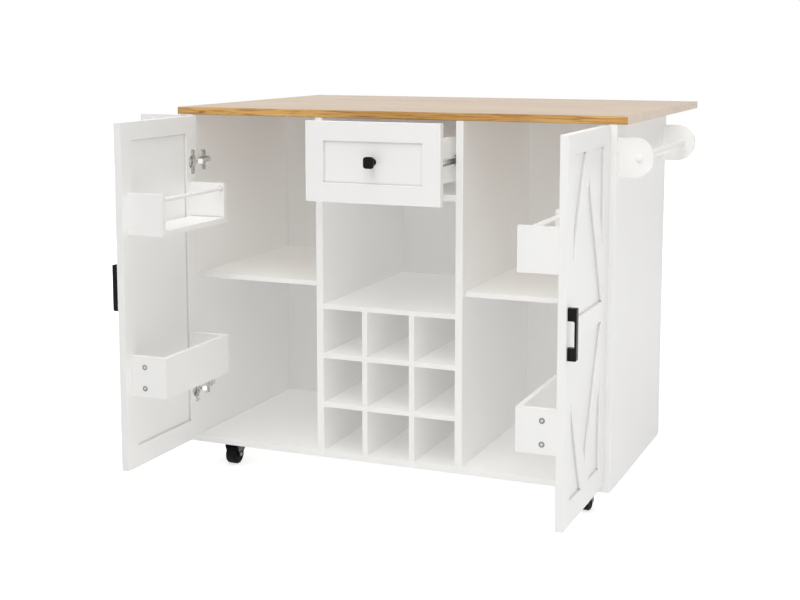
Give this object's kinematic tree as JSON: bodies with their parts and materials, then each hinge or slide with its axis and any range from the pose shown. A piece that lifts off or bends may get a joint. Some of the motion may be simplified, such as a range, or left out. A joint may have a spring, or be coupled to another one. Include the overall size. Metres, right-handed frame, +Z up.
{
  "type": "drop leaf kitchen island",
  "caption": "Kitchen island on casters with a wooden top and drop leaf, a drawer over a niche and bottle rack, cupboards with racks on their doors, a towel rail and a side tray.",
  "frame": {"origin": "middle of the footprint on the floor, with the doors open and the leaf raised", "axes": "+Z up, front towards -Y, towel rail on +X"},
  "size_m": [1.308, 1.1346, 0.921],
  "materials": {
    "cabinet_paint": "smooth white painted board",
    "door_paint": "smooth white painted board",
    "top_wood": "oiled pale wood",
    "leaf_wood": "oiled pale wood",
    "black_metal": "satin black",
    "hardware_steel": "nickel plated",
    "caster_metal": "black with a plated head",
    "caster_wheel": "matt black"
  },
  "bodies": {
    "carcass": {"side_panel_left": "cabinet_paint", "side_panel_right": "cabinet_paint", "divider_left": "cabinet_paint", "divider_right": "cabinet_paint", "shelf_left": "cabinet_paint", "shelf_right": "cabinet_paint", "bottom_panel": "cabinet_paint", "back_panel": "cabinet_paint", "drawer_deck": "cabinet_paint", "bottle_rack_upright_left": "cabinet_paint", "bottle_rack_upright_right": "cabinet_paint", "bottle_rack_shelf_lower": "cabinet_paint", "bottle_rack_shelf_upper": "cabinet_paint", "bottle_rack_top": "cabinet_paint", "main_top": "top_wood", "towel_rack": "cabinet_paint", "side_tray": "cabinet_paint", "leaf_bracket_channel_left": "hardware_steel", "leaf_bracket_channel_right": "hardware_steel", "slide_cabinet_left": "hardware_steel", "slide_cabinet_right": "hardware_steel", "hinge_arm_left_lower": "hardware_steel", "hinge_arm_left_upper": "hardware_steel", "hinge_arm_right_lower": "hardware_steel", "hinge_arm_right_upper": "hardware_steel"},
    "leaf": {"drop_leaf": "leaf_wood", "leaf_bracket_arm_left": "hardware_steel", "leaf_bracket_arm_right": "hardware_steel"},
    "leaf_strut_left": {"leaf_bracket_strut_left": "hardware_steel"},
    "leaf_strut_right": {"leaf_bracket_strut_right": "hardware_steel"},
    "door_left": {"door_left": "door_paint", "door_pull_left": "black_metal", "door_rack_left_lower": "door_paint", "door_rack_left_upper": "door_paint", "hinge_cup_left_lower": "hardware_steel", "hinge_cup_left_upper": "hardware_steel"},
    "hinge_links_left": {"hinge_link_left_lower": "hardware_steel", "hinge_link_left_upper": "hardware_steel"},
    "door_right": {"door_right": "door_paint", "door_pull_right": "black_metal", "door_rack_right_lower": "door_paint", "door_rack_right_upper": "door_paint", "hinge_cup_right_lower": "hardware_steel", "hinge_cup_right_upper": "hardware_steel"},
    "hinge_links_right": {"hinge_link_right_lower": "hardware_steel", "hinge_link_right_upper": "hardware_steel"},
    "drawer": {"drawer_front": "door_paint", "drawer_box": "door_paint", "drawer_knob": "black_metal", "slide_drawer_left": "hardware_steel", "slide_drawer_right": "hardware_steel"},
    "caster_front_left": {"caster_fork_front_left": "caster_metal"},
    "wheel_front_left": {"caster_wheel_front_left": "caster_wheel"},
    "caster_back_left": {"caster_fork_back_left": "caster_metal"},
    "wheel_back_left": {"caster_wheel_back_left": "caster_wheel"},
    "caster_front_right": {"caster_fork_front_right": "caster_metal"},
    "wheel_front_right": {"caster_wheel_front_right": "caster_wheel"},
    "caster_back_right": {"caster_fork_back_right": "caster_metal"},
    "wheel_back_right": {"caster_wheel_back_right": "caster_wheel"}
  },
  "joints": [
    {"name": "leaf_fold", "type": "hinge", "parent": "carcass", "child": "leaf", "pos_m": [0.035, 0.28875, 0.898], "axis": [-1, 0, 0], "range_deg": [0, 90]},
    {"name": "leaf_strut_left_turn", "type": "hinge", "parent": "leaf", "child": "leaf_strut_left", "pos_m": [-0.1435, 0.43875, 0.8945], "axis": [1, 0, 0], "range_deg": [0, 136]},
    {"name": "leaf_strut_right_turn", "type": "hinge", "parent": "leaf", "child": "leaf_strut_right", "pos_m": [0.2135, 0.43875, 0.8945], "axis": [1, 0, 0], "range_deg": [0, 136]},
    {"name": "door_left_swing", "type": "hinge", "parent": "carcass", "child": "door_left", "pos_m": [-0.49175, -0.2315, 0.4965], "axis": [0, 0, 1], "range_deg": [0, 90]},
    {"name": "hinge_links_left_turn", "type": "hinge", "parent": "carcass", "child": "hinge_links_left", "pos_m": [-0.47375, -0.218, 0.4965], "axis": [0, 0, 1], "range_deg": [0, 90]},
    {"name": "door_right_swing", "type": "hinge", "parent": "carcass", "child": "door_right", "pos_m": [0.56175, -0.2315, 0.4965], "axis": [0, 0, -1], "range_deg": [0, 90]},
    {"name": "hinge_links_right_turn", "type": "hinge", "parent": "carcass", "child": "hinge_links_right", "pos_m": [0.54375, -0.218, 0.4965], "axis": [0, 0, -1], "range_deg": [0, 90]},
    {"name": "drawer_slide", "type": "slide", "parent": "carcass", "child": "drawer", "axis": [0, -1, 0], "range_m": [-0.093, 0.19]},
    {"name": "caster_front_left_swivel", "type": "hinge", "parent": "carcass", "child": "caster_front_left", "pos_m": [-0.43, -0.13175, 0.06], "axis": [0, 0, 1], "continuous": true},
    {"name": "wheel_front_left_roll", "type": "hinge", "parent": "caster_front_left", "child": "wheel_front_left", "pos_m": [-0.43, -0.15375, 0.025], "axis": [1, 0, 0], "continuous": true},
    {"name": "caster_back_left_swivel", "type": "hinge", "parent": "carcass", "child": "caster_back_left", "pos_m": [-0.43, 0.18625, 0.06], "axis": [0, 0, 1], "continuous": true},
    {"name": "wheel_back_left_roll", "type": "hinge", "parent": "caster_back_left", "child": "wheel_back_left", "pos_m": [-0.43, 0.16425, 0.025], "axis": [1, 0, 0], "continuous": true},
    {"name": "caster_front_right_swivel", "type": "hinge", "parent": "carcass", "child": "caster_front_right", "pos_m": [0.5, -0.13175, 0.06], "axis": [0, 0, 1], "continuous": true},
    {"name": "wheel_front_right_roll", "type": "hinge", "parent": "caster_front_right", "child": "wheel_front_right", "pos_m": [0.5, -0.15375, 0.025], "axis": [1, 0, 0], "continuous": true},
    {"name": "caster_back_right_swivel", "type": "hinge", "parent": "carcass", "child": "caster_back_right", "pos_m": [0.5, 0.18625, 0.06], "axis": [0, 0, 1], "continuous": true},
    {"name": "wheel_back_right_roll", "type": "hinge", "parent": "caster_back_right", "child": "wheel_back_right", "pos_m": [0.5, 0.16425, 0.025], "axis": [1, 0, 0], "continuous": true}
  ],
  "couplings": [
    {"joint": "leaf_strut_left_turn", "follows": "leaf_fold", "ratio": 1.5073},
    {"joint": "leaf_strut_right_turn", "follows": "leaf_fold", "ratio": 1.5073},
    {"joint": "hinge_links_left_turn", "follows": "door_left_swing", "ratio": 1},
    {"joint": "hinge_links_right_turn", "follows": "door_right_swing", "ratio": 1}
  ]
}
